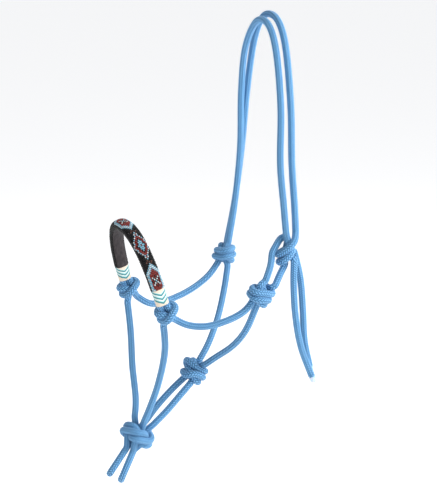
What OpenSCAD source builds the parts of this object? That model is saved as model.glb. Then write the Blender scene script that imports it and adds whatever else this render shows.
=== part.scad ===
// Rope halter for a horse, knotted from one braided rope, with a beaded noseband.
// Frame: millimetres, +Z up, -X towards the horse's nose, +Y to its off (right) side.
// The origin is at the poll, under the top of the crown, where the halter hangs on the head.

/* [Rope] */
// Diameter of the braided rope
rope_d = 8; // [6:0.5:10]
// Gap between rope runs that lie side by side
strand_gap = 0.6; // [0.3:0.1:2]
// Sides of each rope's cross-section
rope_sides = 8; // [8:2:12]
// Rings between two neighbouring points of a rope's route
rings_per_step = 2; // [1:1:3]

/* [Head] */
// Height of the poll above the two cheek knots
crown_drop = 300; // [260:5:340]
// Distance between the two cheek knots, across the head
cheek_width = 170; // [150:5:200]
// How far the near cheek knot sits ahead of the off one
near_cheek_lead = 41; // [20:1:60]
// How far the nose knots sit ahead of the poll
nose_reach = 154; // [135:1:185]
// Height of the poll above the nose knots
nose_drop = 318; // [290:1:350]
// Distance between the two nose knots
nose_width = 112; // [100:1:135]
// How far the throat knot sits ahead of the poll
throat_reach = 90; // [75:1:105]
// Height of the poll above the throat knot
throat_drop = 416; // [390:1:450]
// How far the chin knot sits ahead of the poll
chin_reach = 167; // [150:1:200]
// Height of the poll above the chin knot
chin_drop = 485; // [460:1:520]

/* [Knots] */
// Diameter of the knots at the nose, the cheeks and the throat
knot_d = 26; // [24:0.5:32]
// Diameter of the chin knot
chin_knot_d = 38; // [36:0.5:44]
// Length of the knot that ties the crown
tie_knot_l = 48; // [44:1:56]
// Diameter of the knot that ties the crown
tie_knot_d = 24; // [22:0.5:30]
// Half the thickness of one turn of rope inside a knot
turn_r = 5.2; // [4:0.1:6]
// Clearance between a knot and a rope that bends beside it
bend_gap = 0.5; // [0.3:0.1:0.8]

/* [Noseband] */
// Height of the noseband's top above the nose knots, along its slope
nose_height = 99; // [85:1:120]
// How far the noseband leans ahead, for each unit that it rises
nose_lean = 0.2755; // [0.1:0.01:0.5]
// Width of the beaded roll, across the nose bone
roll_width = 17.2; // [16:0.2:22]
// Thickness of the beaded roll
roll_thickness = 12.6; // [11.4:0.2:16]
// Thickness of the leather with its beads
cover_wall = 1.7; // [1:0.1:2.2]
// Half the angle of the roll's inner face that the plain lining covers
lining_half_angle = 55; // [40:1:75]
// Length of each thread wrap at the noseband's ends
wrap_length = 19; // [12:1:26]
// Width that a thread wrap loses towards its knot
wrap_taper = 1.4; // [0:0.1:2]

/* [Tails and lead loops] */
// Length that the crown's loose tails hang below the tie knot
tail_hang = 150; // [100:5:220]
// Length of the melted tip of each tail
tip_length = 9; // [5:1:15]
// Diameter of the melted tip
tip_d = 7.6; // [5:0.2:9]
// Length of each lead loop, from the chin knot's middle
loop_length = 58; // [50:1:75]
// Width of each lead loop, between its legs' middles
loop_width = 18; // [16:0.5:26]

/* [Hidden] */

rope_blue = [0.30, 0.58, 0.82];
bead_black = [0.10, 0.08, 0.09];
lining_brown = [0.20, 0.16, 0.16];
thread_cream = [0.90, 0.86, 0.78];
tip_white = [0.92, 0.95, 0.97];

// --- Places of the knots ---
off_cheek = [-5, cheek_width / 2, -crown_drop];
near_cheek = [off_cheek.x - near_cheek_lead, -cheek_width / 2, -crown_drop];
off_nose = [-nose_reach, nose_width / 2, -nose_drop];
near_nose = [-nose_reach, -nose_width / 2, -nose_drop];
throat = [-throat_reach, 0, -throat_drop];
chin = [-chin_reach, 0, -chin_drop];
tie = near_cheek + [37, 5, 53];

// --- Turning axes ---
across = [0, 1, 0];
cheek_axis = unit(off_cheek - near_cheek);
cheek_rear = [cheek_axis.y, -cheek_axis.x, 0];
tie_axis = unit([0.40, 0, 0.92]);
loop_dir = unit([-0.55, -0.05, -0.834]);
loop_axis = unit([0.40, 0.86, -0.3155]);
loop_side = cross(loop_dir, loop_axis);

// --- Shared measures ---
rope_r = rope_d / 2;
strand_pitch = rope_d + strand_gap;
knot_clear = knot_d / 2 + bend_gap;
chin_clear = chin_knot_d / 2 + bend_gap;
knot_grip = knot_d / 2 - 3;
chin_grip = chin_knot_d / 2 - 6;
end_turn_share = 0.77;
knot_facets = 48;
dome_angles = [75, 50, 25];
drawn_crown_drop = 300;
drawn_cheek_width = 170;
drawn_tail_hang = 150;

// --- Vector and curve helpers ---
function unit(v) = v / norm(v);

// Catmull-Rom curve between points i and i + 1 of a route
function spline_point(p, i, t) =
    let (
        n = len(p) - 1,
        b = p[i],
        c = p[i + 1],
        a = i > 0 ? p[i - 1] : 2 * b - c,
        d = i + 2 <= n ? p[i + 2] : 2 * c - b
    )
    (2 * b + (c - a) * t + (2 * a - 5 * b + 4 * c - d) * t * t
        + (3 * b - a - 3 * c + d) * t * t * t) / 2;

function smooth(p, steps = rings_per_step) = [
    for (i = [0:len(p) - 2], s = [0:steps - 1]) spline_point(p, i, s / steps),
    p[len(p) - 1]
];

function tangent(p, i) = unit(p[min(i + 1, len(p) - 1)] - p[max(i - 1, 0)]);

// Round ring across the curve at point i; level keeps the rings from twisting
function rope_ring(p, i, level, r) =
    let (
        t = tangent(p, i),
        u = unit(cross(level, t)),
        v = cross(t, u)
    )
    [for (k = [0:rope_sides - 1])
        let (a = 360 * (k + 0.5) / rope_sides)
        p[i] + r * (cos(a) * u + sin(a) * v)];

// Closed skin over a list of rings that all have the same number of points
module skin(rings) {
    n = len(rings[0]);
    last = len(rings) - 1;
    walls = [
        for (i = [0:last - 1], j = [0:n - 1])
            let (k = (j + 1) % n)
            each [
                [i * n + j, (i + 1) * n + j, (i + 1) * n + k],
                [i * n + j, (i + 1) * n + k, i * n + k]
            ]
    ];
    start_cap = [for (j = [0:n - 1]) j];
    end_cap = [for (j = [n - 1:-1:0]) last * n + j];
    polyhedron([for (r = rings) each r], concat([start_cap, end_cap], walls));
}

// Closed skin of a pipe between outer and inner rings
module pipe_skin(outer, inner) {
    n = len(outer[0]);
    last = len(outer) - 1;
    shift = n * len(outer);
    walls = [
        for (i = [0:last - 1], j = [0:n - 1])
            let (k = (j + 1) % n)
            each [
                [i * n + j, (i + 1) * n + j, (i + 1) * n + k],
                [i * n + j, (i + 1) * n + k, i * n + k],
                [shift + i * n + j, shift + (i + 1) * n + k, shift + (i + 1) * n + j],
                [shift + i * n + j, shift + i * n + k, shift + (i + 1) * n + k]
            ]
    ];
    ends = [
        for (j = [0:n - 1])
            let (k = (j + 1) % n)
            each [
                [j, k, shift + k],
                [j, shift + k, shift + j],
                [last * n + j, shift + last * n + k, last * n + k],
                [last * n + j, shift + last * n + j, shift + last * n + k]
            ]
    ];
    polyhedron(concat([for (r = outer) each r], [for (r = inner) each r]), concat(walls, ends));
}

module rope(route, level = across, r = rope_r) {
    p = smooth(route);
    color(rope_blue)
        skin([for (i = [0:len(p) - 1]) rope_ring(p, i, level, r)]);
}

// --- Knots: turns of rope side by side along one axis ---
module knot(centre, axis, d, l, turns) {
    reach = l / 2 - turn_r;
    middle_r = d / 2 - turn_r;
    color(rope_blue)
        translate(centre)
            rotate([0, acos(axis.z), atan2(axis.y, axis.x)])
                rotate_extrude($fn = knot_facets) {
                    translate([0, -l / 2])
                        square([middle_r * end_turn_share, l]);
                    for (i = [0:turns - 1]) {
                        z = turns > 1 ? 2 * i / (turns - 1) - 1 : 0;
                        share = 1 - (1 - end_turn_share) * z * z;
                        translate([middle_r * share, reach * z])
                            circle(r = turn_r, $fn = knot_facets);
                    }
                }
}

module overhand_knot(centre, axis) {
    knot(centre, axis, knot_d, knot_d, 3);
}

// --- Runs between two knots ---
// Each bow is [share of the way from knot to knot, offset from the straight line].
function run(a, port_a, bows, b, port_b) = concat(
    [a + port_a],
    [for (w = bows) a + w[0] * (b - a) + w[1]],
    [b + port_b]
);

// A port is where a rope ends inside its knot, in the direction given.
function port(direction, depth = knot_grip) = depth * unit(direction);

off_cheek_route = run(
    off_nose, port([6.5, 0, -7.5]),
    [[0.15, [2, -3, -24]], [0.25, [4, 1, -32]], [0.4, [6, 4, -34]], [0.6, [6, 5, -31]],
        [0.8, [2, 3, -21]]],
    off_cheek, port([-9, 0, -4.5])
);
near_cheek_route = run(
    near_nose, port([8.5, -1, -5.5]),
    [[0.2, [4, -2, -18]], [0.4, [3, -5, -23]], [0.65, [0, -5, -21]], [0.8, [1, -4, -15]]],
    near_cheek, port([-8.5, 0, -5.5])
);
off_jaw_route = run(
    off_nose, port([-3.5, -4, -9]),
    [[0.3, [-1, -1, 2]], [0.55, [-2, -1, 4]], [0.75, [0, 0, -3]]],
    chin, port([-4, 4, 12], chin_grip)
);
near_jaw_route = run(
    near_nose, port([-1.5, 4, -9.5]),
    [[0.3, [12, 5, -3]], [0.6, [13, 2, 2]], [0.8, [7, 0, 0]]],
    chin, port([2, -6, 11.5], chin_grip)
);
off_throat_route = run(
    off_cheek, port([-0.5, -4, -9.5]),
    [[0.25, [8, 4, -13]], [0.5, [10, 4, -12]], [0.75, [7, 2, -6]]],
    throat, port([5, 5, 7])
);
near_throat_route = run(
    near_cheek, port([0, 5, -9]),
    [[0.35, [8, -9, -7]], [0.55, [9, -6, -10]], [0.8, [7, -3, -3]]],
    throat, port([5, -6, 6])
);
off_chin_route = run(
    throat, port([-8, 4, -4]),
    [[0.35, [-2, 6, 3]], [0.6, [-3, 6, 2]]],
    chin, port([8, 4, 9], chin_grip)
);
near_chin_route = run(
    throat, port([-4, -5, -8]),
    [[0.35, [4, -6, -1]], [0.6, [3, -6, -3]]],
    chin, port([11.5, -4, 5], chin_grip)
);

// --- Crown: two strands from the off cheek knot over the poll to the tie knot ---
function over_poll(p) = [
    p.x,
    p.y * cheek_width / drawn_cheek_width,
    p.z * crown_drop / drawn_crown_drop
];

function crown_start(side) =
    off_cheek + [0, 0, knot_clear] + side * strand_pitch / 2 * cheek_axis;

crown_front_route = concat(
    [crown_start(-1)],
    [for (p = [[2, 78, -231], [6, 72, -161], [3, 64, -91], [-2, 44, -34], [-2, 16, 1],
        [-3, -16, 2], [-6, -42, -26], [-11, -64, -86], [-15, -72, -151], [-13, -78, -201]])
        over_poll(p)],
    [tie + [-2, 0, 17]]
);
crown_rear_route = concat(
    [crown_start(1)],
    [for (p = [[7, 88, -231], [13, 81, -161], [13, 68, -91], [11, 46, -26], [9, 18, 7],
        [8, -16, 8], [6, -42, -20], [2, -64, -86], [0, -72, -151], [1, -78, -201]])
        over_poll(p)],
    [tie + [11, 0, 15]]
);

// --- Eye loop: the bight that rises from the near cheek knot and holds the tie knot ---
function beside_cheek(lean, out) =
    near_cheek + (knot_clear + out) * (cos(lean) * [0, 0, 1] + sin(lean) * cheek_rear);

eye_front_route = [
    beside_cheek(20, 0),
    beside_cheek(20, rope_d),
    near_cheek + [10, 3, 34],
    tie + [-15, 0, -9],
    tie + [-8, 0, -6]
];
eye_rear_route = [
    beside_cheek(62, 0),
    beside_cheek(62, rope_d),
    near_cheek + [25, 1, 19],
    tie + [-2, 0, -24],
    tie + [-4, 1, -16]
];

// --- Tails: two loose ends that hang from the tie knot ---
function hang(start, offsets) = concat(
    [start],
    [for (p = offsets) start + [p.x, p.y, p.z * tail_hang / drawn_tail_hang]]
);

near_tail_top = tie + [5, -8, -19];
off_tail_top = tie + [11.7, 2.7, -12];
near_tail_route = hang(
    near_tail_top, [[0, 0, -28], [3, 0, -66], [11, 0, -106], [27, 0, -147]]
);
off_tail_route = hang(
    off_tail_top, [[8, 0, -32], [12, 0, -70], [15, 0, -110], [23, 0, -145]]
);

// A tail turns on the round top of its rope, so its first rings close into a dome.
module tail(route) {
    p = smooth(route);
    top = tangent(p, 0);
    flat = rope_ring(p, 0, across, rope_r);
    dome = [
        for (a = dome_angles)
            [for (q = flat) p[0] - rope_r * sin(a) * top + cos(a) * (q - p[0])]
    ];
    rings = [for (i = [0:len(p) - 1]) rope_ring(p, i, across, rope_r)];
    color(rope_blue)
        skin(concat(dome, rings));
}

module tail_tip(route) {
    n = len(route) - 1;
    p = smooth(route);
    axis = tangent(p, len(p) - 1);
    overlap = 2;
    color(tip_white)
        translate(route[n] - overlap * axis)
            rotate([0, acos(axis.z), atan2(axis.y, axis.x)])
                rotate_extrude($fn = knot_facets) {
                    square([tip_d / 2, tip_length - tip_d / 4]);
                    square([tip_d / 4, tip_length]);
                    translate([tip_d / 4, tip_length - tip_d / 4])
                        circle(r = tip_d / 4, $fn = knot_facets);
                }
}

// --- Lead loops: two bights side by side below the chin knot ---
// The legs start narrow at the knot, and the two loops stand a little apart at their ends.
knot_end_share = 0.6;
mid_leg_share = 0.9;
loop_spread = 3.5;
bight_step = 45;

// side is -1 for the off loop, which lies ahead, and 1 for the near loop.
function loop_route(side) =
    let (
        half = loop_width / 2,
        start = sqrt(pow(chin_clear, 2) - pow(strand_pitch / 2, 2)),
        straight = loop_length - half,
        middle = (start + straight) / 2,
        shape = concat(
            [[start, half * knot_end_share], [middle, half * mid_leg_share]],
            [for (a = [90:-bight_step:-90]) [straight + half * cos(a), half * sin(a)]],
            [[middle, -half * mid_leg_share], [start, -half * knot_end_share]]
        )
    )
    [for (q = shape)
        let (spread = strand_pitch / 2 + loop_spread * (q[0] - start) / (loop_length - start))
        chin + q[0] * loop_dir + q[1] * loop_axis + side * spread * loop_side];

// --- Noseband: an arch of two rope cores inside a beaded cover ---
arch_power = 2.3;
arch_lift = unit([-nose_lean, 0, 1]);
arch_across = cross(across, arch_lift);
nose_middle = [-nose_reach, 0, -nose_drop];
arch_step = 0.5;
hollow_power = 3;
roll_power = 2.4;
core_gap = 0.2;
core_slack = 0.6;
hollow_w = roll_width - 2 * cover_wall;
hollow_t = roll_thickness - 2 * cover_wall;
core_w = (hollow_w - 3 * core_gap) / 2;
core_t = hollow_t - 2 * core_slack;
core_offset = (core_w + core_gap) / 2;
wrap_end = knot_clear + wrap_length;
wrap_inset = 0.4;
wrap_steps = 4;
sleeve_start = wrap_end + core_gap;
sleeve_steps = 18;
seam_angle = 1.5;
arc_points = 8;

// Middle of the roll at an angle from 0, at the off knot, to 180, at the near knot
function arch_point(angle) =
    nose_middle
        + across * nose_width / 2 * sign(cos(angle)) * pow(abs(cos(angle)), 2 / arch_power)
        + arch_lift * nose_height * pow(sin(angle), 2 / arch_power);

// Angle at which the off leg of the arch is that high above the knots
function arch_angle(height) = asin(pow(height / nose_height, arch_power / 2));

// Point of the roll's section: phi is 0 at its rear edge and 90 at its outer face
function oval(w, t, power, phi) = [
    w / 2 * sign(cos(phi)) * pow(abs(cos(phi)), 2 / power),
    t / 2 * sign(sin(phi)) * pow(abs(sin(phi)), 2 / power)
];

function arch_ring(angle, section) =
    let (
        t = unit(arch_point(angle + arch_step) - arch_point(angle - arch_step)),
        outward = cross(t, arch_across)
    )
    [for (q = section) arch_point(angle) + q.x * arch_across + q.y * outward];

function whole_oval(w, t, power) =
    [for (k = [0:2 * arc_points - 1]) oval(w, t, power, 180 * k / arc_points)];

// Part of the cover between two angles: its outer wall out, its inner wall back
function cover_section(from, to) = concat(
    [for (k = [0:arc_points])
        oval(roll_width, roll_thickness, roll_power, from + (to - from) * k / arc_points)],
    [for (k = [arc_points:-1:0])
        oval(hollow_w, hollow_t, hollow_power, from + (to - from) * k / arc_points)]
);

leg_angles = [
    for (k = [0:wrap_steps]) arch_angle(knot_clear + wrap_length * k / wrap_steps)
];
sleeve_angles = [
    for (k = [0:sleeve_steps])
        let (first = arch_angle(sleeve_start))
        first + (180 - 2 * first) * k / sleeve_steps
];
core_angles = concat(
    leg_angles,
    sleeve_angles,
    [for (k = [wrap_steps:-1:0]) 180 - leg_angles[k]]
);

module nose_core(side) {
    section = [
        for (q = whole_oval(core_w, core_t, 2))
            [q.x + side * core_offset, q.y]
    ];
    color(rope_blue)
        skin([for (a = core_angles) arch_ring(a, section)]);
}

module cover(from, to) {
    section = cover_section(from, to);
    skin([for (a = sleeve_angles) arch_ring(a, section)]);
}

module end_wrap(angles) {
    steps = len(angles) - 1;
    outer = [
        for (i = [0:steps])
            let (less = wrap_taper * (1 - i / steps) + wrap_inset)
            arch_ring(angles[i], whole_oval(roll_width - less, roll_thickness - less, roll_power))
    ];
    inner = [
        for (a = angles) arch_ring(a, whole_oval(hollow_w, hollow_t, hollow_power))
    ];
    color(thread_cream)
        pipe_skin(outer, inner);
}

module mirrored_over_nose() {
    mirror([0, 1, 0])
        children();
}

// --- Sub-parts ---
module crown_rope_front() {
    rope(crown_front_route, [1, 0, 0]);
}
module crown_rope_rear() {
    rope(crown_rear_route, [1, 0, 0]);
}
module tie_knot() {
    knot(tie, tie_axis, tie_knot_d, tie_knot_l, 5);
}
module eye_loop_front() {
    rope(eye_front_route);
}
module eye_loop_rear() {
    rope(eye_rear_route);
}
module off_cheek_knot() {
    overhand_knot(off_cheek, cheek_axis);
}
module near_cheek_knot() {
    overhand_knot(near_cheek, cheek_axis);
}
module off_nose_knot() {
    overhand_knot(off_nose, across);
}
module near_nose_knot() {
    overhand_knot(near_nose, across);
}
module throat_knot() {
    overhand_knot(throat, across);
}
module chin_knot() {
    knot(chin, loop_axis, chin_knot_d, chin_knot_d, 4);
}
module off_cheek_rope() {
    rope(off_cheek_route);
}
module near_cheek_rope() {
    rope(near_cheek_route);
}
module off_throat_rope() {
    rope(off_throat_route);
}
module near_throat_rope() {
    rope(near_throat_route);
}
module off_chin_rope() {
    rope(off_chin_route);
}
module near_chin_rope() {
    rope(near_chin_route);
}
module off_jaw_rope() {
    rope(off_jaw_route);
}
module near_jaw_rope() {
    rope(near_jaw_route);
}
module nose_core_front() {
    nose_core(-1);
}
module nose_core_rear() {
    nose_core(1);
}
module beaded_sleeve() {
    color(bead_black)
        cover(lining_half_angle - 90 + seam_angle, 270 - lining_half_angle - seam_angle);
}
module sleeve_lining() {
    color(lining_brown)
        cover(270 - lining_half_angle, 270 + lining_half_angle);
}
module off_end_wrap() {
    end_wrap(leg_angles);
}
module near_end_wrap() {
    mirrored_over_nose()
        end_wrap(leg_angles);
}
module near_tail() {
    tail(near_tail_route);
}
module off_tail() {
    tail(off_tail_route);
}
module near_tail_tip() {
    tail_tip(near_tail_route);
}
module off_tail_tip() {
    tail_tip(off_tail_route);
}
module off_lead_loop() {
    rope(loop_route(-1), loop_side);
}
module near_lead_loop() {
    rope(loop_route(1), loop_side);
}

crown_rope_front();
crown_rope_rear();
tie_knot();
eye_loop_front();
eye_loop_rear();
off_cheek_knot();
near_cheek_knot();
off_nose_knot();
near_nose_knot();
throat_knot();
chin_knot();
off_cheek_rope();
near_cheek_rope();
off_throat_rope();
near_throat_rope();
off_chin_rope();
near_chin_rope();
off_jaw_rope();
near_jaw_rope();
nose_core_front();
nose_core_rear();
beaded_sleeve();
sleeve_lining();
off_end_wrap();
near_end_wrap();
near_tail();
off_tail();
near_tail_tip();
off_tail_tip();
off_lead_loop();
near_lead_loop();
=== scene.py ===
import math

import bpy
import numpy as np
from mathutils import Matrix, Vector


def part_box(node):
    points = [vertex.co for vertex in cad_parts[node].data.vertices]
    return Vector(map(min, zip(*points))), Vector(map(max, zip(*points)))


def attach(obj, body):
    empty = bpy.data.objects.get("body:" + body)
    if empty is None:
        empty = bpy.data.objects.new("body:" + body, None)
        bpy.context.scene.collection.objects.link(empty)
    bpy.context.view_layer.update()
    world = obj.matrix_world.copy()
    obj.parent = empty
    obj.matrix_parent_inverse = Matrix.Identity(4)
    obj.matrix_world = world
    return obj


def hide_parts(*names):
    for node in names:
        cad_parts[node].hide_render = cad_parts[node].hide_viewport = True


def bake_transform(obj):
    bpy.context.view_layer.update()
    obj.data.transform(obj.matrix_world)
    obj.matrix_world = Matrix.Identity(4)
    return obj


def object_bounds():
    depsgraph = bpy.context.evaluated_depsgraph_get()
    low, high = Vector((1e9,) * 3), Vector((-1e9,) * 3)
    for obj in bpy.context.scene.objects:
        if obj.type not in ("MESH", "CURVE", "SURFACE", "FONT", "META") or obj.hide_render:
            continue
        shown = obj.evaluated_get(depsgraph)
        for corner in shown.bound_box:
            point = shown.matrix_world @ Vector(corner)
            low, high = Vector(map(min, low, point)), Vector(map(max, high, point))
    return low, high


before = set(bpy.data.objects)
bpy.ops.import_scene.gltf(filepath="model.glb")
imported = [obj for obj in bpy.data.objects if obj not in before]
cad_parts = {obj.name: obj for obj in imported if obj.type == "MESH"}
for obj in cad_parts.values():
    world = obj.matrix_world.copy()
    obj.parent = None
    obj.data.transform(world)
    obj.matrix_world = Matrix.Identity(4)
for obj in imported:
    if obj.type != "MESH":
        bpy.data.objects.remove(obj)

# Looks of a rope halter for a horse: braided rope with drawn-up knots, and a beaded noseband.
# Metres, +Z up, -X towards the horse's nose, +Y to its off (right) side; the origin is the poll.

CAD_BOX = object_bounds()
MM = 0.001

# --- Rope ---
ROPE_D = 8.0 * MM
ROPE_R = ROPE_D / 2
STRAND_GAP = 0.6 * MM
STRAND_PITCH = ROPE_D + STRAND_GAP
PLAITS = 8             # strands of the braid that run each way round
PICK_LENGTH = 2.8 * MM  # length along the rope of one braid diamond
RINGS_PER_PICK = 6
SIDES_PER_PLAIT = 6
PICK_RELIEF = 0.85 * MM

# --- Knots ---
KNOT_REACH = 17.0 * MM   # from a small knot's middle to where its rope runs begin
CHIN_REACH = 24.0 * MM
TIE_REACH = 20.0 * MM
KNOT_GRIP = 10.0 * MM
CHIN_GRIP = 13.0 * MM
CHIN_CLEAR = 19.5 * MM
KNOT_STEP = 2.5 * MM     # spacing of the points while a knot is drawn up
PRESSED_D = 1.0 * ROPE_D  # rope against rope in a tight knot
TIGHTEST_CHORD = 7.2 * MM  # across 8 mm of rope at its tightest bend

# --- Noseband ---
ROLL_WIDTH = 17.2 * MM
ROLL_THICKNESS = 12.6 * MM
ROLL_POWER = 2.4
ARCH_POWER = 2.3
NOSE_LEAN = 0.2755
NOSE_HEIGHT = 99.0 * MM
CORE_OFFSET = 3.4 * MM
WRAP_START = 13.5 * MM
WRAP_END = 32.5 * MM
LINING_HALF_ANGLE = 55.0
SEAM_ANGLE = 1.5
COVER_WALL = 1.6 * MM
WRAP_INSET = 0.4 * MM
WRAP_TAPER = 1.4 * MM    # width lost towards the knot
THREAD_D = 0.55 * MM
BEAD_ROWS = 95           # rows of beads along the noseband
BEAD_COLUMNS = 19        # beads in a row, across the outer face
BEAD_WIDTH = 1.7 * MM

# --- Tail tips ---
TIP_OVERLAP = 2.0 * MM


def unit(v):
    v = np.asarray(v, float)
    return v / np.linalg.norm(v)


def middle(node):
    low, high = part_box(node)
    return np.array((low + high) / 2)


def srgb(r, g, b):
    def linear(c):
        c /= 255
        return c / 12.92 if c <= 0.04045 else ((c + 0.055) / 1.055) ** 2.4
    return (linear(r), linear(g), linear(b), 1.0)


# --- Places, from the frame ---
OFF_CHEEK = middle("off_cheek_knot")
NEAR_CHEEK = middle("near_cheek_knot")
OFF_NOSE = middle("off_nose_knot")
NEAR_NOSE = middle("near_nose_knot")
THROAT = middle("throat_knot")
CHIN = middle("chin_knot")
TIE = middle("tie_knot")
NOSE_MIDDLE = (OFF_NOSE + NEAR_NOSE) / 2
NOSE_HALF_WIDTH = (OFF_NOSE[1] - NEAR_NOSE[1]) / 2

ACROSS = np.array([0.0, 1.0, 0.0])
CHEEK_AXIS = unit(OFF_CHEEK - NEAR_CHEEK)
CHEEK_REAR = np.array([CHEEK_AXIS[1], -CHEEK_AXIS[0], 0.0])
LOOP_DIR = unit([-0.55, -0.05, -0.834])
LOOP_AXIS = unit([0.40, 0.86, -0.3155])
LOOP_SIDE = np.cross(LOOP_DIR, LOOP_AXIS)
ARCH_LIFT = unit([-NOSE_LEAN, 0.0, 1.0])
ARCH_ACROSS = np.cross(ACROSS, ARCH_LIFT)
TO_VIEWER = np.array([-0.42, -0.86, 0.28])

# ---------------------------------------------------------------- camera

VIEW_AZIMUTH = math.radians(-26)
VIEW_ELEVATION = math.radians(16)
VIEW_DISTANCE = 1.8
LOOK_AT = Vector((-0.059, 0.0, -0.267))


def make_camera():
    data = bpy.data.cameras.new("camera")
    data.lens = 108
    data.sensor_width = 36
    camera = bpy.data.objects.new("camera", data)
    back = Vector((
        math.sin(VIEW_AZIMUTH) * math.cos(VIEW_ELEVATION),
        -math.cos(VIEW_AZIMUTH) * math.cos(VIEW_ELEVATION),
        math.sin(VIEW_ELEVATION),
    ))
    camera.location = LOOK_AT + VIEW_DISTANCE * back
    camera.rotation_mode = "QUATERNION"
    camera.rotation_quaternion = (-back).to_track_quat("-Z", "Y")
    bpy.context.scene.collection.objects.link(camera)
    bpy.context.scene.camera = camera


# ---------------------------------------------------------------- curves

def catmull_rom(points, per_span=12):
    p = np.asarray(points, float)
    before = np.vstack([2 * p[0] - p[1], p[:-2], p[-2:-1]])[:len(p) - 1]
    before[1:] = p[:-2]
    after = np.vstack([p[2:], 2 * p[-1] - p[-2]])
    t = (np.arange(per_span) / per_span)[None, :, None]
    a, b, c, d = (q[:, None, :] for q in (before, p[:-1], p[1:], after))
    curve = (2 * b + (c - a) * t + (2 * a - 5 * b + 4 * c - d) * t ** 2
             + (3 * b - a - 3 * c + d) * t ** 3) / 2
    return np.vstack([curve.reshape(-1, 3), p[-1]])


def lengths_along(line):
    return np.concatenate([[0], np.cumsum(np.linalg.norm(np.diff(line, axis=0), axis=1))])


def resample(line, count):
    along = lengths_along(line)
    at = np.linspace(0, along[-1], count)
    return np.stack([np.interp(at, along, line[:, k]) for k in range(3)], axis=1)


def spaced(line, step):
    return resample(line, max(4, round(lengths_along(line)[-1] / step) + 1))


def cut_outside(line, centre, reach):
    """The part of the line outside a ball, which holds one of the line's ends."""
    far = np.linalg.norm(line - centre, axis=1) > reach
    return line[far]


# ---------------------------------------------------------------- rope runs, as in the CAD source

def port(direction, depth=KNOT_GRIP):
    return depth * unit(direction)


def run(a, port_a, bows, b, port_b):
    points = [a + port_a]
    points += [a + share * (b - a) + np.array(offset) * MM for share, offset in bows]
    return np.array(points + [b + port_b])


def around_poll(points):
    return [np.array(p) * MM for p in points]


def runs_between_knots():
    return {
        "off_cheek_rope": run(
            OFF_NOSE, port([6.5, 0, -7.5]),
            [(0.15, (2, -3, -24)), (0.25, (4, 1, -32)), (0.4, (6, 4, -34)),
             (0.6, (6, 5, -31)), (0.8, (2, 3, -21))],
            OFF_CHEEK, port([-9, 0, -4.5])),
        "near_cheek_rope": run(
            NEAR_NOSE, port([8.5, -1, -5.5]),
            [(0.2, (4, -2, -18)), (0.4, (3, -5, -23)), (0.65, (0, -5, -21)),
             (0.8, (1, -4, -15))],
            NEAR_CHEEK, port([-8.5, 0, -5.5])),
        "off_jaw_rope": run(
            OFF_NOSE, port([-3.5, -4, -9]),
            [(0.3, (-1, -1, 2)), (0.55, (-2, -1, 4)), (0.75, (0, 0, -3))],
            CHIN, port([-4, 4, 12], CHIN_GRIP)),
        "near_jaw_rope": run(
            NEAR_NOSE, port([-1.5, 4, -9.5]),
            [(0.3, (12, 5, -3)), (0.6, (13, 2, 2)), (0.8, (7, 0, 0))],
            CHIN, port([2, -6, 11.5], CHIN_GRIP)),
        "off_throat_rope": run(
            OFF_CHEEK, port([-0.5, -4, -9.5]),
            [(0.25, (8, 4, -13)), (0.5, (10, 4, -12)), (0.75, (7, 2, -6))],
            THROAT, port([5, 5, 7])),
        "near_throat_rope": run(
            NEAR_CHEEK, port([0, 5, -9]),
            [(0.35, (8, -9, -7)), (0.55, (9, -6, -10)), (0.8, (7, -3, -3))],
            THROAT, port([5, -6, 6])),
        "off_chin_rope": run(
            THROAT, port([-8, 4, -4]),
            [(0.35, (-2, 6, 3)), (0.6, (-3, 6, 2))],
            CHIN, port([8, 4, 9], CHIN_GRIP)),
        "near_chin_rope": run(
            THROAT, port([-4, -5, -8]),
            [(0.35, (4, -6, -1)), (0.6, (3, -6, -3))],
            CHIN, port([11.5, -4, 5], CHIN_GRIP)),
    }


def crown_start(side):
    return OFF_CHEEK + np.array([0, 0, 13.5 * MM]) + side * STRAND_PITCH / 2 * CHEEK_AXIS


def crown_runs():
    front = around_poll([
        (2, 78, -231), (6, 72, -161), (3, 64, -91), (-2, 44, -34), (-2, 16, 1), (-3, -16, 2),
        (-6, -42, -26), (-11, -64, -86), (-15, -72, -151), (-13, -78, -201)])
    rear = around_poll([
        (7, 88, -231), (13, 81, -161), (13, 68, -91), (11, 46, -26), (9, 18, 7), (8, -16, 8),
        (6, -42, -20), (2, -64, -86), (0, -72, -151), (1, -78, -201)])
    return {
        "crown_rope_front": [crown_start(-1), *front, TIE + np.array([-2, 0, 17]) * MM],
        "crown_rope_rear": [crown_start(1), *rear, TIE + np.array([11, 0, 15]) * MM],
    }


NEAR_TAIL_TOP = TIE + np.array([5, -8, -19]) * MM
OFF_TAIL_TOP = TIE + np.array([11.7, 2.7, -12]) * MM


def tail_runs():
    near = [(0, 0, 0), (0, 0, -28), (3, 0, -66), (11, 0, -106), (27, 0, -147)]
    off = [(0, 0, 0), (8, 0, -32), (12, 0, -70), (15, 0, -110), (23, 0, -145)]
    return {
        "near_tail": [NEAR_TAIL_TOP + np.array(p) * MM for p in near],
        "off_tail": [OFF_TAIL_TOP + np.array(p) * MM for p in off],
    }


LOOP_LENGTH = 58.0 * MM
LOOP_HALF = 9.0 * MM
LOOP_SPREAD = 3.5 * MM


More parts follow.
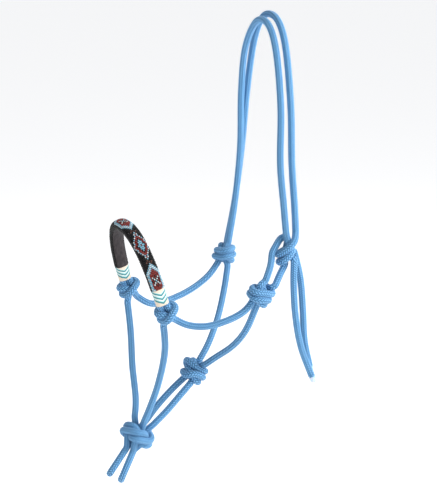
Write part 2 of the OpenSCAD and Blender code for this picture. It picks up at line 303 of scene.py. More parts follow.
def loop_run(side):
    start = math.sqrt(CHIN_CLEAR ** 2 - (STRAND_PITCH / 2) ** 2)
    straight = LOOP_LENGTH - LOOP_HALF
    half_way = (start + straight) / 2
    shape = [(start, 0.6 * LOOP_HALF), (half_way, 0.9 * LOOP_HALF)]
    for angle in (90, 45, 0, -45, -90):
        a = math.radians(angle)
        shape.append((straight + LOOP_HALF * math.cos(a), LOOP_HALF * math.sin(a)))
    shape += [(half_way, -0.9 * LOOP_HALF), (start, -0.6 * LOOP_HALF)]
    points = []
    for down, out in shape:
        spread = STRAND_PITCH / 2 + LOOP_SPREAD * (down - start) / (LOOP_LENGTH - start)
        points.append(CHIN + down * LOOP_DIR + out * LOOP_AXIS + side * spread * LOOP_SIDE)
    return points


# ---------------------------------------------------------------- noseband arch

def arch_point(angle):
    c, s = math.cos(angle), math.sin(angle)
    out = NOSE_HALF_WIDTH * math.copysign(abs(c) ** (2 / ARCH_POWER), c)
    up = NOSE_HEIGHT * max(s, 0.0) ** (2 / ARCH_POWER)
    return NOSE_MIDDLE + ACROSS * out + ARCH_LIFT * up


def arch_angle(height):
    return math.asin((height / NOSE_HEIGHT) ** (ARCH_POWER / 2))


def arch_line(height, count=240):
    """The roll's middle from that height on the off leg, over the nose, to the near leg."""
    first = arch_angle(height)
    fine = np.array([arch_point(a) for a in np.linspace(first, math.pi - first, 600)])
    return resample(fine, count)


def oval(w, t, power, phi):
    c, s = np.cos(phi), np.sin(phi)
    return (w / 2 * np.sign(c) * np.abs(c) ** (2 / power),
            t / 2 * np.sign(s) * np.abs(s) ** (2 / power))


def arch_frames(line):
    tangent = np.gradient(line, axis=0)
    tangent /= np.linalg.norm(tangent, axis=1)[:, None]
    outward = np.cross(tangent, ARCH_ACROSS)
    outward /= np.linalg.norm(outward, axis=1)[:, None]
    return tangent, outward


# ---------------------------------------------------------------- drawing up a knot

def drawn_up(strands, rounds=220, tension=0.30, gather=0.008):
    """Pulls strands tight: each shortens until rope lies against rope. Their ends stay."""
    lines = [spaced(s, KNOT_STEP) for s in strands]
    heart = np.mean([s[[0, -1]] for s in lines], axis=(0, 1))
    apart = int(round(12 * MM / KNOT_STEP))
    stiff = int(round(4 * MM / KNOT_STEP))
    for turn in range(rounds):
        if turn % 8 == 0:
            lines = [spaced(s, KNOT_STEP) for s in lines]
            owner = np.concatenate([np.full(len(s), k) for k, s in enumerate(lines)])
            number = np.concatenate([np.arange(len(s)) for s in lines])
            far = (owner[:, None] != owner[None, :]) | (
                np.abs(number[:, None] - number[None, :]) > apart)
            held = np.concatenate([
                (np.arange(len(s)) < 2) | (np.arange(len(s)) > len(s) - 3) for s in lines])
            from_end = np.concatenate([
                np.minimum(np.arange(len(s)), np.arange(len(s))[::-1]) for s in lines])
            snug = gather * np.clip((from_end - 4) / 4, 0, 1)[:, None]
            ends = np.cumsum([0] + [len(s) for s in lines])
        points = np.vstack(lines)
        free = (~held)[:, None]
        pull = np.zeros_like(points)
        for a, b in zip(ends[:-1], ends[1:]):
            s = points[a:b]
            pull[a + 1:b - 1] = (s[:-2] + s[2:]) / 2 - s[1:-1]
        points += (tension * pull + snug * (heart - points)) * free
        for _ in range(4):
            gap = points[:, None] - points[None]
            size = np.linalg.norm(gap, axis=2) + 1e-12
            short = np.where(far & (size < PRESSED_D), PRESSED_D - size, 0.0)
            push = (gap / size[..., None] * short[..., None]).sum(axis=1)
            count = np.maximum((short > 0).sum(axis=1), 1)[:, None]
            points += 0.5 * push / count ** 0.7 * free
            for a, b in zip(ends[:-1], ends[1:]):
                s = points[a:b]
                chord = s[2 * stiff:] - s[:-2 * stiff]
                size = np.linalg.norm(chord, axis=1)[:, None] + 1e-12
                give = np.clip(TIGHTEST_CHORD - size, 0, None) / 2 * chord / size
                move = np.zeros_like(s)
                move[2 * stiff:] += give
                move[:-2 * stiff] -= give
                points[a:b] += 0.5 * move * free[a:b]
        lines = [points[a:b].copy() for a, b in zip(ends[:-1], ends[1:])]
    for _ in range(2):
        for s in lines:
            s[2:-2] = (s[1:-3] + 2 * s[2:-2] + s[3:-1]) / 4
    return lines


TWO_TURNS = [
    (12, -9, 8), (2, -3, 8), (-25, 3, 8.5), (-80, 6, 9), (-150, 6, 9), (-220, 5.5, 9),
    (-280, 5, 10), (-330, 3, 14), (-370, -1, 16), (-410, -4, 13), (-460, -5, 10),
    (-520, -5, 9), (-580, -5, 9), (-640, -4, 10), (-680, 0, 9), (-690, 7, 8)]
THREE_TURNS = [
    (12, -12, 8), (2, -5, 8), (-25, 4, 8.5), (-80, 9, 9), (-150, 9, 9), (-220, 8.5, 9),
    (-280, 8, 10), (-330, 5, 14), (-370, 1, 16), (-410, -1, 13), (-460, -2, 11),
    (-520, -2, 11), (-580, -2.5, 11), (-640, -3, 12), (-700, -6, 14), (-745, -9, 13),
    (-800, -10, 10), (-860, -10, 9), (-920, -10, 9), (-980, -9, 10), (-1030, -4, 9.5),
    (-1045, 2, 9), (-1050, 10, 8)]


def wrap_knot(centre, core_top, core_low, wrap_top, wrap_low, turns):
    """One strand hitched round the other. Each end is (point, direction out of the knot), and
    a turn is (degrees round the knot, height, radius) in millimetres."""
    up = unit(core_top[0] + wrap_top[0] - core_low[0] - wrap_low[0])
    front = unit(TO_VIEWER - (TO_VIEWER @ up) * up)
    right = np.cross(up, front)

    def at(angle, height, radius):
        a = math.radians(angle)
        return centre + (height * up + radius * (math.cos(a) * front + math.sin(a) * right)) * MM

    def off_by(end, angle):
        out = end[0] - centre
        bearing = math.degrees(math.atan2(out @ right, out @ front))
        return (bearing - angle + 180) % 360 - 180

    core = [core_top[0], core_top[0] - core_top[1] * 3 * MM, at(180, 5, 1), at(180, -5, 1),
            core_low[0] - core_low[1] * 3 * MM, core_low[0]]
    if len(turns) > len(TWO_TURNS):
        first, last = turns[0][0], turns[-1][0]
        start_off, end_off = off_by(wrap_low, first), off_by(wrap_top, last)
        shares = [(a - first) / (last - first) for a, _, _ in turns]
        turns = [(a + start_off * (1 - f) ** 6 + end_off * f ** 6, h, r)
                 for f, (a, h, r) in zip(shares, turns)]
    wrap = [wrap_low[0], wrap_low[0] - wrap_low[1] * 3 * MM]
    wrap += [at(*t) for t in turns]
    wrap += [wrap_top[0] - wrap_top[1] * 3 * MM, wrap_top[0]]
    return drawn_up([catmull_rom(core), catmull_rom(wrap)])


def chin_knot(tops, lows):
    """Four strands, each passing once round all the others. Ends as in wrap_knot."""
    up = -LOOP_DIR
    front = unit(TO_VIEWER - (TO_VIEWER @ up) * up)
    right = np.cross(up, front)

    def at(angle, height, radius):
        a = math.radians(angle)
        return CHIN + (height * up + radius * (math.cos(a) * front + math.sin(a) * right)) * MM

    def bearing(point):
        out = point - CHIN
        return math.degrees(math.atan2(out @ right, out @ front)) % 360

    turns = [(0, 14, 5.7), (0, 0, 5.7), (30, -9, 7.5), (62, -13, 11), (85, -11, 14.5),
             (120, -3, 16), (160, 5, 16), (200, 13, 15), (235, 17, 12), (265, 12, 9.5),
             (280, -2, 9.3), (280, -13, 8)]
    order = sorted(tops, key=lambda name: bearing(tops[name][0]))
    first = bearing(tops[order[0]][0])
    starts = {name: first + 90 * k for k, name in enumerate(order)}
    exits = sorted(lows, key=lambda name: bearing(lows[name][0]))
    places = sorted((start + 280) % 360 for start in starts.values())
    leave = dict(zip(places, exits))
    strands, pairs = [], []
    for name, start in starts.items():
        low = leave[(start + 280) % 360]
        top_point, top_way = tops[name]
        low_point, low_way = lows[low]
        line = [top_point, top_point - top_way * 3 * MM]
        line += [at(start + a, h, r) for a, h, r in turns]
        line += [low_point - low_way * 3 * MM, low_point]
        strands.append(catmull_rom(line))
        pairs.append((name, low))
    return pairs, drawn_up(strands)


def tie_knot(crown_front, crown_rear, near_tail, off_tail, eye_front, eye_rear):
    """The doubled sheet bend: two crown strands round the eye that rises from the cheek."""
    up = np.array([0.0, 0.0, 1.0])
    front = unit(TO_VIEWER - (TO_VIEWER @ up) * up)
    right = np.cross(up, front)

    def at(x, y, depth):
        return TIE + (x * right + y * up + depth * front) * MM

    def tied(start, middle_points, end):
        line = [start[0], start[0] - start[1] * 3 * MM]
        line += [at(*p) for p in middle_points]
        line += [end[0] - end[1] * 3 * MM, end[0]]
        return catmull_rom(line)

    rear = tied(crown_rear, [
        (11, 9, 0), (8, 4, 6), (0, -3, 9), (-7, -9, 7), (-10, -13, 0), (-7, -13, -8),
        (0, -9, -12), (6, -4, -13), (10, -5, -10)], off_tail)
    first = tied(crown_front, [
        (-3, 10, 2), (-1, 4, 0), (5, 0, 1), (11, -2, 0), (7, -7, 8), (0, -13, 9),
        (-7, -19, 5), (-9, -21, -3), (-4, -19, -10), (2, -14, -11), (6, -9, -7),
        (8, -12, 0)], near_tail)
    eye = tied(eye_front, [
        (-14, -8, 2), (-12, 2, -1), (-8, 11, -5), (-1, 16, -7), (4, 10, -6), (3, 1, -5),
        (1, -9, -4), (-1, -19, -3), (-6, -28, 2)], eye_rear)
    return drawn_up([rear, first, eye], rounds=40, gather=0)


# ---------------------------------------------------------------- rope surface

def transported(line, normal=None):
    """Tangents and a normal that doesn't twist, at each point of a line."""
    tangent = np.gradient(line, axis=0)
    tangent /= np.linalg.norm(tangent, axis=1)[:, None]
    if normal is None:
        normal = np.cross(tangent[0], [0.3, 0.5, 0.8])
    normals = np.zeros_like(line)
    normal = normal - (normal @ tangent[0]) * tangent[0]
    normals[0] = unit(normal)
    for i in range(1, len(line)):
        n = normals[i - 1] - (normals[i - 1] @ tangent[i]) * tangent[i]
        normals[i] = n / np.linalg.norm(n)
    return tangent, normals


def braid_height(u, v):
    """Height from 0 to 1 of the braid's picks; u counts plaits, v counts picks.

    Strands lie along constant u + v and constant u - v, each over two and under two."""
    a, b = u + v, u - v
    i, j = np.floor(a), np.floor(b)
    over = (i + j) % 4 < 2
    across = np.where(over, a - i, b - j) * 2 - 1
    along = np.where(over, (i + b) % 4, (j + a) % 4 - 2) - 1
    return np.sqrt(np.clip(1 - across ** 2, 0, 1)) * (1 - 0.6 * along ** 4)


def rope_mesh(name, strands):
    """strands: (line, normals, distance along the rope at the line's start)."""
    sides = PLAITS * SIDES_PER_PLAIT
    vertices, faces, uvs, heights = [], [], [], []
    base = 0
    angle = np.arange(sides) / sides * 2 * math.pi
    plait = np.arange(sides) / SIDES_PER_PLAIT
    for line, tangent, normals, start in strands:
        count = len(line)
        side = np.cross(tangent, normals)
        pick = (start + lengths_along(line)) / PICK_LENGTH
        height = braid_height(plait[None, :] + 0.001, pick[:, None] + 0.001)
        radius = ROPE_R + PICK_RELIEF * (height - 0.75)
        ring = (line[:, None, :]
                + radius[..., None] * (np.cos(angle)[None, :, None] * normals[:, None, :]
                                       + np.sin(angle)[None, :, None] * side[:, None, :]))
        vertices.append(ring.reshape(-1, 3))
        heights.append(height.ravel())
        i, j = np.meshgrid(np.arange(count - 1), np.arange(sides), indexing="ij")
        k = (j + 1) % sides
        quad = np.stack([i * sides + j, i * sides + k, (i + 1) * sides + k, (i + 1) * sides + j],
                        axis=-1).reshape(-1, 4)
        faces += (quad + base).tolist()
        u = np.stack([j, j + 1, j + 1, j], axis=-1).reshape(-1) / SIDES_PER_PLAIT
        v = np.stack([pick[i], pick[i], pick[i + 1], pick[i + 1]], axis=-1).reshape(-1)
        uvs.append(np.stack([u, v], axis=1))
        for ring_at, order in ((0, -1), (count - 1, 1)):
            corner = np.arange(sides)[::order] + ring_at * sides + base
            faces.append(corner.tolist())
            uvs.append(np.stack([np.arange(sides) / SIDES_PER_PLAIT,
                                 np.full(sides, pick[ring_at])], axis=1)[::order])
        base += count * sides
    mesh = bpy.data.meshes.new(name)
    mesh.from_pydata(np.vstack(vertices), [], faces)
    # corners were gathered quad by quad, then cap by cap, in the same order as the faces
    layer = mesh.uv_layers.new(name="Braid")
    layer.data.foreach_set("uv", np.vstack(uvs).astype(np.float32).ravel())
    # the rope material paints shade into the gaps and highlight onto the pick tops from this height
    shade = mesh.attributes.new("pick_height", "FLOAT", "POINT")
    shade.data.foreach_set("value", np.concatenate(heights).astype(np.float32))
    mesh.polygons.foreach_set("use_smooth", np.ones(len(mesh.polygons), bool))
    mesh.update()
    piece = bpy.data.objects.new(name, mesh)
    bpy.context.scene.collection.objects.link(piece)
    return piece


class Rope:
    """All stretches of the halter's rope, joined end to end at named seams."""

    def __init__(self):
        self.stretches = {}

    def add(self, name, piece, start, end, line):
        self.stretches[name] = {"piece": piece, "ends": (start, end), "line": line}

    def chains(self):
        left = dict(self.stretches)
        at = {}
        for name, s in left.items():
            for e in s["ends"]:
                at.setdefault(e, []).append(name)
        chains = []
        free = [e for e in at if len(at[e]) == 1]
        while left:
            seam = next((e for e in free if at[e][0] in left), None)
            if seam is None:
                seam = next(iter(left.values()))["ends"][0]
            chain = []
            while True:
                name = next((n for n in at[seam] if n in left), None)
                if name is None:
                    break
                s = left.pop(name)
                forward = s["ends"][0] == seam
                chain.append((name, forward))
                seam = s["ends"][1] if forward else s["ends"][0]
            chains.append(chain)
        return chains

    def lay(self):
        """Gives each stretch its frames, so that the braid runs on through every seam."""
        step = PICK_LENGTH / RINGS_PER_PICK
        for chain in self.chains():
            along, normal = 0.0, None
            whole, cuts = [], [0]
            for name, forward in chain:
                line = self.stretches[name]["line"]
                line = line if forward else line[::-1]
                line = spaced(catmull_rom(spaced(line, KNOT_STEP), 8), step)
                whole.append(line if not whole else line[1:])
                cuts.append(cuts[-1] + len(whole[-1]) - (1 if len(whole) == 1 else 0))
            line = np.vstack(whole)
            line = smoothed(line, 30)
            tangent, normals = transported(line)
            at = lengths_along(line)
            for (name, _), a, b in zip(chain, cuts[:-1], cuts[1:]):
                self.stretches[name]["laid"] = (
                    line[a:b + 1], tangent[a:b + 1], normals[a:b + 1], at[a])

    def piece(self, name):
        laid = [s["laid"] for s in self.stretches.values() if s["piece"] == name]
        return rope_mesh(f"{name}_braid", laid)


def smoothed(line, times):
    line = line.copy()
    for _ in range(times):
        line[1:-1] = (line[:-2] + 2 * line[1:-1] + line[2:]) / 4
    return line


def end_of(line, at_start):
    """(point, direction away from the knot) at one end of a run."""
    if at_start:
        return line[0], unit(line[3] - line[0])
    return line[-1], unit(line[-4] - line[-1])


def build_rope():
    rope = Rope()
    reach = {"off_cheek": (OFF_CHEEK, KNOT_REACH), "near_cheek": (NEAR_CHEEK, KNOT_REACH),
             "off_nose": (OFF_NOSE, KNOT_REACH), "near_nose": (NEAR_NOSE, KNOT_REACH),
             "throat": (THROAT, KNOT_REACH), "chin": (CHIN, CHIN_REACH), "tie": (TIE, TIE_REACH)}
    knots_at = {
        "off_cheek_rope": ("off_nose", "off_cheek"), "near_cheek_rope": ("near_nose", "near_cheek"),
        "off_jaw_rope": ("off_nose", "chin"), "near_jaw_rope": ("near_nose", "chin"),
        "off_throat_rope": ("off_cheek", "throat"), "near_throat_rope": ("near_cheek", "throat"),
        "off_chin_rope": ("throat", "chin"), "near_chin_rope": ("throat", "chin"),
        "crown_rope_front": ("off_cheek", "tie"), "crown_rope_rear": ("off_cheek", "tie"),
    }
    ends = {}
    lines = {**runs_between_knots(), **crown_runs()}
    for name, points in lines.items():
        line = catmull_rom(points, 30)
        for knot in knots_at[name]:
            line = cut_outside(line, *reach[knot])
        ends[name, knots_at[name][0]] = end_of(line, True)
        ends[name, knots_at[name][1]] = end_of(line, False)
        rope.add(name, name, f"{name}.{knots_at[name][0]}", f"{name}.{knots_at[name][1]}", line)
    for name, points in tail_runs().items():
        line = catmull_rom(points, 30)
        ends[name, "tie"] = end_of(line, True)
        rope.add(name, name, f"{name}.tie", f"{name}.tip", line)
    for name, side in (("off_lead_loop", -1), ("near_lead_loop", 1)):
        line = cut_outside(catmull_rom(loop_run(side), 30), CHIN, CHIN_REACH)
        ends[name + "+", "chin"] = end_of(line, True)
        ends[name + "-", "chin"] = end_of(line, False)
        rope.add(name, name, f"{name}+.chin", f"{name}-.chin", line)
    arch = arch_line(KNOT_REACH)
    for name, side in (("nose_core_front", -1), ("nose_core_rear", 1)):
        line = arch + side * CORE_OFFSET * ARCH_ACROSS
        ends[name, "off_nose"] = end_of(line, True)
        ends[name, "near_nose"] = end_of(line, False)
        rope.add(name, name, f"{name}.off_nose", f"{name}.near_nose", line)

    small = [
        ("off_cheek", OFF_CHEEK, THREE_TURNS,
         "crown_rope_rear", "off_cheek_rope", "crown_rope_front", "off_throat_rope"),
        ("off_nose", OFF_NOSE, TWO_TURNS,
         "nose_core_front", "off_jaw_rope", "nose_core_rear", "off_cheek_rope"),
        ("near_nose", NEAR_NOSE, TWO_TURNS,
         "nose_core_front", "near_jaw_rope", "nose_core_rear", "near_cheek_rope"),
        ("throat", THROAT, THREE_TURNS,
         "near_throat_rope", "near_chin_rope", "off_throat_rope", "off_chin_rope"),
    ]
    for knot, centre, turns, *runs in small:
        core, wrap = wrap_knot(centre, *(ends[r, knot] for r in runs), turns)
        rope.add(f"{knot}_core", f"{knot}_knot", f"{runs[0]}.{knot}", f"{runs[1]}.{knot}", core)
        rope.add(f"{knot}_wrap", f"{knot}_knot", f"{runs[3]}.{knot}", f"{runs[2]}.{knot}", wrap)

    eye = {}
    for name, lean in (("eye_front", 20), ("eye_rear", 62)):
        a = math.radians(lean)
        way = math.cos(a) * np.array([0, 0, 1.0]) + math.sin(a) * CHEEK_REAR
        eye[name] = (NEAR_CHEEK + KNOT_REACH * way, way)
    core, wrap = wrap_knot(NEAR_CHEEK, eye["eye_rear"], ends["near_cheek_rope", "near_cheek"],
                           eye["eye_front"], ends["near_throat_rope", "near_cheek"],
                           THREE_TURNS)
    rope.add("near_cheek_core", "near_cheek_knot", "eye_rear.cheek",
             "near_cheek_rope.near_cheek", core)
    rope.add("near_cheek_wrap", "near_cheek_knot", "near_throat_rope.near_cheek",
             "eye_front.cheek", wrap)

    def leaving(end):
        return end[0], -end[1]

    rear, first, loop = tie_knot(
        ends["crown_rope_front", "tie"], ends["crown_rope_rear", "tie"],
        ends["near_tail", "tie"], ends["off_tail", "tie"],
        leaving(eye["eye_front"]), leaving(eye["eye_rear"]))
    rope.add("tie_rear", "tie_knot", "crown_rope_rear.tie", "off_tail.tie", rear)
    rope.add("tie_front", "tie_knot", "crown_rope_front.tie", "near_tail.tie", first)
    rope.add("eye_loop", "eye_loop", "eye_front.cheek", "eye_rear.cheek", loop)

    tops = {n: ends[n, "chin"] for n in
            ("off_jaw_rope", "near_jaw_rope", "off_chin_rope", "near_chin_rope")}
    lows = {n: ends[n, "chin"] for n in
            ("off_lead_loop+", "off_lead_loop-", "near_lead_loop+", "near_lead_loop-")}
    pairs, strands = chin_knot(tops, lows)
    for (top, low), line in zip(pairs, strands):
        rope.add(f"chin_{top}", "chin_knot", f"{top}.chin", f"{low}.chin", line)
    rope.lay()
    return rope


# ---------------------------------------------------------------- noseband and tips

def mesh_piece(name, vertices, faces, values=None):
    """A smooth-shaded mesh; values are the per-point numbers or colours its material reads."""
    mesh = bpy.data.meshes.new(name)
    mesh.from_pydata(np.asarray(vertices), [], faces)
    for key, value in (values or {}).items():
        value = np.asarray(value, np.float32)
        if value.ndim == 2:
            layer = mesh.attributes.new(key, "FLOAT_COLOR", "POINT")
            layer.data.foreach_set("color", value.ravel())
        else:
            layer = mesh.attributes.new(key, "FLOAT", "POINT")
            layer.data.foreach_set("value", value)
    mesh.polygons.foreach_set("use_smooth", np.ones(len(mesh.polygons), bool))
    mesh.update()
    piece = bpy.data.objects.new(name, mesh)
    bpy.context.scene.collection.objects.link(piece)
    return piece


def ring_faces(rings, sides, base=0, looped=False):
    """Quads between closed rings of points; looped joins the last ring to the first."""
    i, j = np.meshgrid(np.arange(rings - (not looped)), np.arange(sides), indexing="ij")
    k, l = (j + 1) % sides, (i + 1) % rings
    quads = np.stack([i * sides + j, i * sides + k, l * sides + k, l * sides + j], axis=-1)
    return (quads.reshape(-1, 4) + base).tolist()


def oval_arc(width, thickness, start, end, count):
    """Points of the roll's oval between two angles, evenly spaced along its edge."""
    phi = np.radians(np.linspace(start, end, 400))
    edge = np.stack(oval(width, thickness, ROLL_POWER, phi), axis=1)
    along = lengths_along(edge)
    at = np.linspace(0, along[-1], count)
    return np.stack([np.interp(at, along, edge[:, k]) for k in range(2)], axis=1)


def on_arch(line, outward, section):
    """section: for each point of the line, a ring of (across, outward) places."""
    return (line[:, None, :] + section[..., :1] * ARCH_ACROSS
            + section[..., 1:] * outward[:, None, :])


def cover(name, start, end, outer_inset, stations=150, columns=34, swell=None):
    """A closed strip of the noseband's cover, from one angle of the section to another."""
    line = arch_line(WRAP_END + 0.2 * MM, stations)
    _, outward = arch_frames(line)
    outer = oval_arc(ROLL_WIDTH - 2 * outer_inset, ROLL_THICKNESS - 2 * outer_inset,
                     start, end, columns)
    inner = oval_arc(ROLL_WIDTH - 2 * COVER_WALL, ROLL_THICKNESS - 2 * COVER_WALL,
                     start, end, columns)
    section = np.repeat(np.vstack([outer, inner[::-1]])[None], stations, axis=0)
    if swell is not None:
        section[:, :columns] *= 1 + swell(stations, columns)[..., None]
    sides = 2 * columns
    faces = ring_faces(stations, sides)
    faces += [list(range(sides))[::-1], [(stations - 1) * sides + k for k in range(sides)]]
    return mesh_piece(name, on_arch(line, outward, section).reshape(-1, 3), faces)


def lining_swell(stations, columns):
    """Soft creases across the lining, which die out towards its edges."""
    t = np.linspace(0, 1, stations)[:, None]
    e = np.linspace(-1, 1, columns)[None, :]
    crease = (np.sin(61 * t + 1.5 * e) + 0.7 * np.sin(113 * t - 2.2 * e + 1) +
              0.5 * np.sin(37 * t + 4 * e + 2))
    return 0.010 * crease * (1 - e ** 4) - 0.05 * np.abs(e) ** 14


BLACK = srgb(8, 7, 9)
RUST = srgb(146, 54, 48)
BRONZE = srgb(112, 74, 60)
SKY = srgb(150, 206, 228)
WHITE = srgb(236, 242, 242)


def star_bead(row, column):
    r, c = abs(row), abs(column)
    if r == c and 1 <= r <= 2:
        return WHITE
    if r + c == 3 or r + c == 1:
        return BLACK
    return SKY if r + c == 0 else None


def hexagon_bead(row, column):
    """A long rust hexagon with a star in it, in a stepped sky and white border."""
    r, c = abs(row), abs(column)
    size = max(c, (r + c) / 2)
    if size > 5:
        return None
    if size > 4.2:
        return WHITE if (row + column) % 2 else SKY
    if size > 3.6:
        return SKY
    return star_bead(row, column) or RUST


def diamond_bead(row, column):
    """A rust diamond round a black one and a sky one, with a broken white outline."""
    size = 0.75 * abs(row) + abs(column)
    if size > 6.3:
        return None
    if size > 5.4:
        return WHITE if row % 2 else SKY
    if size > 3.3:
        return RUST
    if size > 2.5:
        return BLACK
    return SKY if size > 0.7 else RUST


def bead_colour(row, column):
    """Motifs repeat both ways from the middle of the noseband, on a black ground."""
    r = abs(row)
    zigzag = (0, 1, 0, -1, 0)
    if abs(column) <= 2 and (r - zigzag[column + 2]) in (12, 31):
        return BRONZE
    return (hexagon_bead(row, column) or diamond_bead(r - 21, column)
            or hexagon_bead(r - 42, column) or BLACK)


def beads():
    """Each bead is a small barrel that lies along its row, half sunk in the roll's surface."""
    line = arch_line(WRAP_END + 0.2 * MM, 2 * BEAD_ROWS + 1)
    tangent, outward = arch_frames(line)
    row_pitch = 2 * np.linalg.norm(line[1] - line[0])
    seam = LINING_HALF_ANGLE - 90 + SEAM_ANGLE
    edge = oval_arc(ROLL_WIDTH - 1.4 * MM, ROLL_THICKNESS - 1.4 * MM, seam, 180 - seam,
                    2 * BEAD_COLUMNS + 1)
    profile = ((-0.47, 0.30), (-0.27, 0.5), (0.27, 0.5), (0.47, 0.30))
    turn = np.arange(8) / 8 * 2 * math.pi
    rng = np.random.default_rng(7)
    vertices, faces, colours, tones = [], [], [], []
    for i in range(BEAD_ROWS):
        at = 2 * i + 1
        for j in range(BEAD_COLUMNS):
            k = 2 * j + 1
            place = line[at] + edge[k, 0] * ARCH_ACROSS + edge[k, 1] * outward[at]
            hole = edge[k + 1] - edge[k - 1]
            width = np.linalg.norm(hole) * rng.uniform(0.94, 1.0)
            hole = unit(hole[0] * ARCH_ACROSS + hole[1] * outward[at])
            side = tangent[at]
            up = np.cross(hole, side)
            place = place + rng.normal(0, 0.00004, 3)
            thick = row_pitch * rng.uniform(0.92, 1.0)
            rings = [place + x * width * hole
                     + r * thick * (np.cos(turn)[:, None] * side + np.sin(turn)[:, None] * up)
                     for x, r in profile]
            base = 32 * len(vertices)
            vertices.append(np.vstack(rings))
            faces += ring_faces(4, 8, base)
            faces += [[base + n for n in range(8)][::-1], [base + 24 + n for n in range(8)]]
            colour = bead_colour(i - BEAD_ROWS // 2, j - BEAD_COLUMNS // 2)
            colours += [colour] * 32
            tones += [rng.uniform()] * 32
    return mesh_piece("noseband_beads", np.vstack(vertices), faces,
                      {"bead_colour": colours, "bead_tone": tones})


def end_wrap(name, near):
    """Thread wound round the noseband between the beads and the knot; its turns stand out."""
    fine = arch_line(WRAP_START, 2000)
    height = (fine - NOSE_MIDDLE) @ ARCH_LIFT
    leg = fine[(height <= WRAP_END + 0.1 * MM) & (np.arange(2000) < 1000)]
    line = spaced(leg, THREAD_D / 4)
    tangent, outward = arch_frames(line)
    share = np.linspace(0, 1, len(line))
    less = WRAP_TAPER * (1 - share) + WRAP_INSET
    along = lengths_along(line)
    relief = np.abs(np.cos(math.pi * along / THREAD_D))
    sides = 72
    full = oval_arc(ROLL_WIDTH, ROLL_THICKNESS, 0, 360, sides + 1)[:-1]
    scale = 1 + (-less + 0.25 * MM * (relief - 1))[:, None] / np.array([[ROLL_WIDTH,
                                                                       ROLL_THICKNESS]])
    outer = full[None] * scale[:, None, :]
    inner = np.repeat((full * 0.72)[None], len(line), axis=0)
    points = np.vstack([on_arch(line, outward, outer), on_arch(line, outward, inner)[::-1]])
    if near:
        points = points * [1, -1, 1]
    step = np.linalg.norm(full[1] - full[0]) / MM
    number = np.arange(sides)
    from_outer = np.minimum(abs(number - sides / 4), sides - abs(number - sides / 4)) * step
    rings = len(points)
    faces = ring_faces(rings, sides, looped=True)
    if not near:
        faces = [f[::-1] for f in faces]
    millimetres = np.concatenate([along, along[::-1]]) / MM
    return mesh_piece(name, points.reshape(-1, 3), faces, {
        "from_outer": np.tile(from_outer, rings),
        "along": np.repeat(millimetres, sides),
        "thread": np.repeat(np.concatenate([relief, relief[::-1]]), sides)})


def tail_tip(name, route):
    """The melted end of a tail: it grips the last braid and ends in an uneven dome."""
    axis = unit(route[-1] - route[-2])
    start = route[-1] - TIP_OVERLAP * axis
    profile = [(0.0, 3.6), (0.3, 4.1), (1.2, 4.25), (2.5, 4.1), (4.5, 3.9), (6.5, 3.75),
               (7.8, 3.4), (8.5, 2.7), (8.85, 1.7), (9.0, 0.6)]
    first = unit(np.cross(axis, [0.2, 1.0, 0.1]))
    second = np.cross(axis, first)
    sides = 32
    turn = np.arange(sides) / sides * 2 * math.pi
    rings = []
    for down, radius in profile:
        lump = 1 + 0.03 * np.sin(3 * turn + down) + 0.02 * np.sin(7 * turn - 2 * down)
        radius = (radius * lump * MM)[:, None]
        rings.append(start + down * MM * axis
                     + radius * (np.cos(turn)[:, None] * first + np.sin(turn)[:, None] * second))
    count = len(rings)
    faces = ring_faces(count, sides)
    faces += [list(range(sides))[::-1], [(count - 1) * sides + k for k in range(sides)]]
    return mesh_piece(name, np.vstack(rings), faces)


# ---------------------------------------------------------------- materials

class Nodes:
    """A short way to write a material's node tree."""

    def __init__(self, name):
        self.material = bpy.data.materials.new(name)
        self.material.use_nodes = True
        self.tree = self.material.node_tree
        self.shader = self.tree.nodes["Principled BSDF"]

    def node(self, kind, inputs=None, **settings):
        n = self.tree.nodes.new(kind)
        for key, value in settings.items():
            setattr(n, key, value)
        for key, value in (inputs or {}).items():
            if isinstance(value, bpy.types.NodeSocket):
                self.tree.links.new(value, n.inputs[key])
            else:
                n.inputs[key].default_value = value
        return n

    def math(self, operation, a, b=0.0):
        n = self.node("ShaderNodeMath", {0: a, 1: b}, operation=operation)
        return n.outputs[0]

    def ramp(self, factor, stops):
        n = self.node("ShaderNodeValToRGB", {0: factor})
        ramp = n.color_ramp
        while len(ramp.elements) < len(stops):
            ramp.elements.new(0.5)
        for element, (position, colour) in zip(ramp.elements, stops):
            element.position = position
            element.color = colour
        return n.outputs[0]

    def mix(self, factor, a, b, blend_type="MIX"):
        n = self.node("ShaderNodeMix", data_type="RGBA", blend_type=blend_type)
        for index, value in ((0, factor), (6, a), (7, b)):
            if isinstance(value, bpy.types.NodeSocket):
                self.tree.links.new(value, n.inputs[index])
            else:
                n.inputs[index].default_value = value
        return n.outputs[2]

    def attribute(self, name, output="Fac"):
        return self.node("ShaderNodeAttribute", attribute_name=name).outputs[output]

    def noise(self, scale, detail=3.0, vector=None):
        inputs = {"Scale": scale, "Detail": detail}
        if vector is not None:
            inputs["Vector"] = vector
        return self.node("ShaderNodeTexNoise", inputs).outputs[0]

    def bump(self, height, distance, strength=1.0, normal=None):
        inputs = {"Height": height, "Distance": distance, "Strength": strength}
        if normal is not None:
            inputs["Normal"] = normal
        return self.node("ShaderNodeBump", inputs).outputs[0]

    def link(self, value, socket):
        self.tree.links.new(value, self.shader.inputs[socket])


